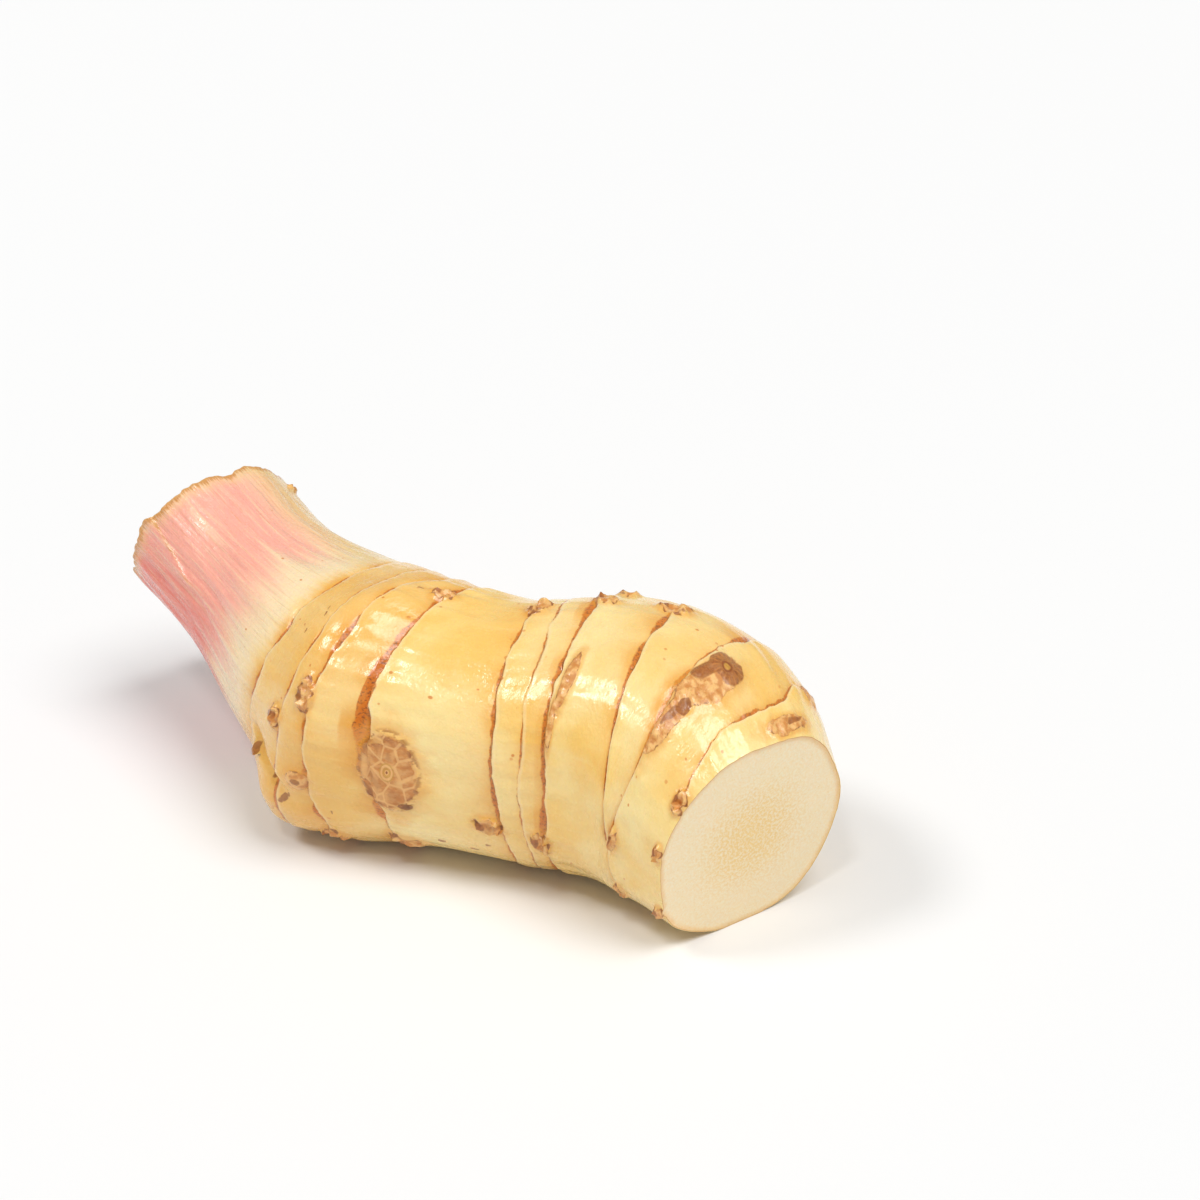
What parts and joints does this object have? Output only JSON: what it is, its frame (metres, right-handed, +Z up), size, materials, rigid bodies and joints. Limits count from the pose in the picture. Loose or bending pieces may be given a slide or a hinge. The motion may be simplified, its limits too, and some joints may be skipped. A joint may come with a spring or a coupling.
{
  "type": "galangal root",
  "caption": "Short length of fresh galangal rhizome with ringed nodes, bud and root scars, a pink leaf-shoot stub at its raised end and a flat cut face at its low end.",
  "frame": {"origin": "centre of the bounding box, on the surface the root lies on", "axes": "+X along the root's long way, from the shoot stub to the cut face; +Z up"},
  "size_m": [0.1056, 0.0514, 0.0372],
  "materials": {
    "root_skin": "satin"
  },
  "bodies": {
    "root": {"galangal_rhizome": "root_skin"}
  },
  "joints": []
}
